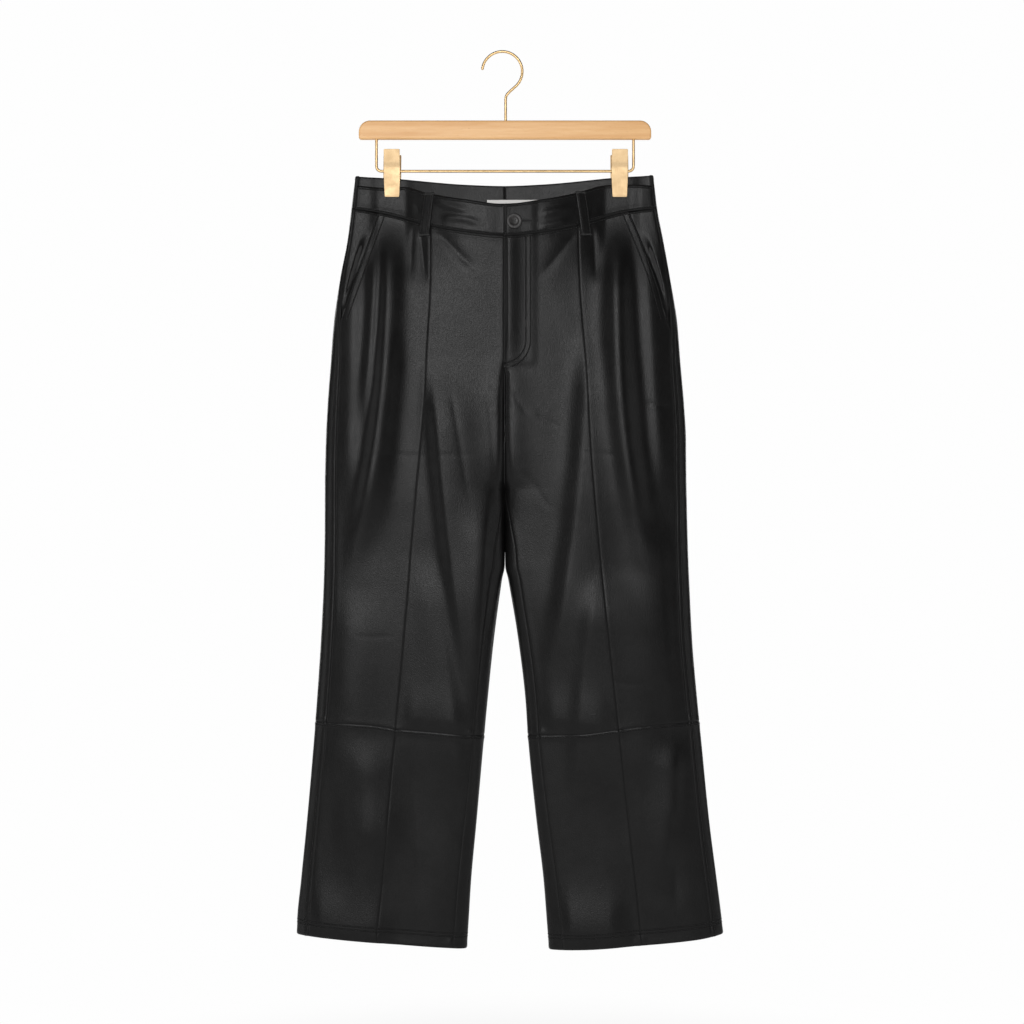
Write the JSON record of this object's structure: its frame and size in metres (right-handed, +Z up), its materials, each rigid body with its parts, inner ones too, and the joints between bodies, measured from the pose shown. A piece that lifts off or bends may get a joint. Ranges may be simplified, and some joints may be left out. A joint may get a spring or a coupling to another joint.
{
  "type": "trousers on a clip hanger",
  "caption": "Straight high-waisted vinyl trousers with slant pockets, buttoned fly and knee seams, hung by the waistband from a wooden clip hanger.",
  "frame": {"origin": "seat of the hook: the underside of its crown, where a rod or peg carries the hanger", "axes": "+X to the viewer's right, -Y out of the front of the trousers, +Z up"},
  "size_m": [0.5441, 0.0544, 1.1497],
  "materials": {
    "vinyl": "black coated cloth with a fine pebbled grain and a satin sheen",
    "button_plastic": "dark horn-look plastic, satin",
    "woven_label": "plain white woven tape",
    "wood": "pale beech, clear satin lacquer",
    "clip_brass": "pale brushed brass plate",
    "wire": "brass-coloured wire, satin"
  },
  "bodies": {
    "root": {"front_outer_upper_L": "vinyl", "front_outer_upper_R": "vinyl", "front_inner_upper_L": "vinyl", "front_inner_upper_R": "vinyl", "front_outer_lower_L": "vinyl", "front_outer_lower_R": "vinyl", "front_inner_lower_L": "vinyl", "front_inner_lower_R": "vinyl", "back_upper_L": "vinyl", "back_upper_R": "vinyl", "back_lower_L": "vinyl", "back_lower_R": "vinyl", "pocket_facing_L": "vinyl", "pocket_facing_R": "vinyl", "waistband_front_L": "vinyl", "waistband_front_R": "vinyl", "waistband_back_L": "vinyl", "waistband_back_R": "vinyl", "fly_shield": "vinyl", "belt_loop_front_L": "vinyl", "belt_loop_front_R": "vinyl", "belt_loop_side_L": "vinyl", "belt_loop_side_R": "vinyl", "belt_loop_back": "vinyl", "label": "woven_label", "button": "button_plastic", "hanger_bar": "wood", "hanger_hook": "wire", "hanger_wire": "wire", "clip_jaw_front_L": "clip_brass", "clip_jaw_front_R": "clip_brass", "clip_jaw_back_L": "clip_brass", "clip_jaw_back_R": "clip_brass", "clip_spring_L": "clip_brass", "clip_spring_R": "clip_brass"}
  },
  "joints": []
}
